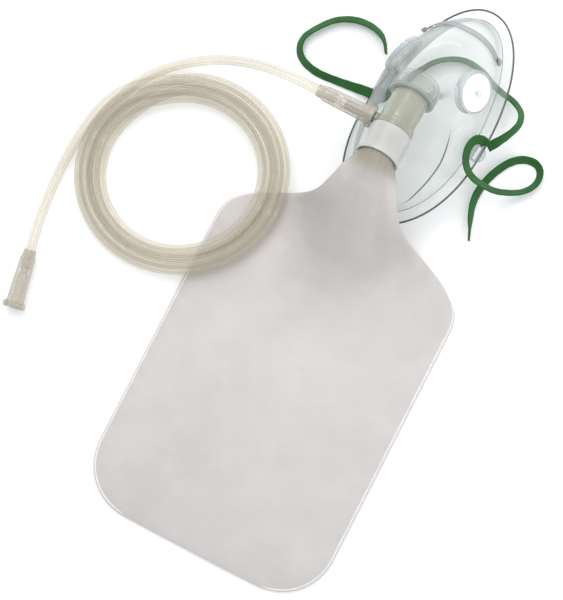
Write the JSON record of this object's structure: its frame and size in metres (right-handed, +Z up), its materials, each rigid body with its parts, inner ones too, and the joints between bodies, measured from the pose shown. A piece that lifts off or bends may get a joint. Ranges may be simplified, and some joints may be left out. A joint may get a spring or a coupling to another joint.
{
  "type": "oxygen mask with reservoir bag",
  "caption": "High-concentration oxygen face mask with a flat reservoir bag, swivel valve housing, coiled supply tubing and an elastic head strap.",
  "frame": {"origin": "on the table under the middle of the mask and bag, tubing and strap left out", "axes": "+Z up from the table, +Y from the bag's bottom edge towards the mask's nose end, +X to the right seen from above"},
  "size_m": [0.2671, 0.3675, 0.0758],
  "materials": {
    "clear_vinyl": "clear soft vinyl, glossy",
    "clear_grey_ring": "clear grey soft ring, glossy",
    "nose_strip": "grey translucent strip, satin",
    "clear_stud": "clear stud, glossy",
    "valve_seat": "clear hard plastic, glossy",
    "valve_disc": "white silicone, satin",
    "housing": "olive grey translucent, satin gloss",
    "inlet_seat": "clear hard plastic, glossy",
    "inlet_disc": "silicone, satin",
    "white_sleeve": "white translucent sleeve, satin",
    "bag_film": "frosted film, satin",
    "connector": "clear beige soft moulding, glossy",
    "tubing": "clear cream tubing, glossy",
    "elastic": "woven elastic, matt"
  },
  "bodies": {
    "reservoir": {"valve_housing": "housing", "inlet_valve_seat": "inlet_seat", "bag_collar": "white_sleeve", "bag_front_film": "bag_film", "bag_back_film": "bag_film"},
    "mask": {"mask_shell": "clear_vinyl", "port_collar": "clear_grey_ring", "nose_clip": "nose_strip", "nose_clip_studs": "clear_stud", "right_valve_seat": "valve_seat", "left_valve_seat": "valve_seat", "strap_left_end": "elastic", "strap_behind_mask": "elastic", "strap_right_end": "elastic"},
    "right_valve": {"right_valve_disc": "valve_disc"},
    "left_valve": {"left_valve_disc": "valve_disc"},
    "inlet_valve": {"inlet_valve_disc": "inlet_disc"},
    "oxygen_tubing": {"tube_connector_near": "connector", "oxygen_tube_lead": "tubing", "oxygen_tube_coil": "tubing", "oxygen_tube_tail": "tubing", "tube_connector_far": "connector"}
  },
  "joints": [
    {"name": "mask_swivel", "type": "hinge", "parent": "reservoir", "child": "mask", "pos_m": [0, 0.113, 0.0488], "axis": [0, -0.9511, 0.309], "range_deg": [-45, 90]},
    {"name": "tubing_pull_off", "type": "slide", "parent": "reservoir", "child": "oxygen_tubing", "axis": [-1, 0, 0], "range_m": [0, 0.022]},
    {"name": "right_valve_lift", "type": "slide", "parent": "mask", "child": "right_valve", "axis": [0.7728, 0.0623, 0.6316], "range_m": [0, 0.0013]},
    {"name": "left_valve_lift", "type": "slide", "parent": "mask", "child": "left_valve", "axis": [-0.9407, 0.327, -0.0901], "range_m": [0, 0.0013]},
    {"name": "inlet_valve_lift", "type": "slide", "parent": "reservoir", "child": "inlet_valve", "axis": [0, 0.9511, -0.309], "range_m": [0, 0.0025]}
  ]
}
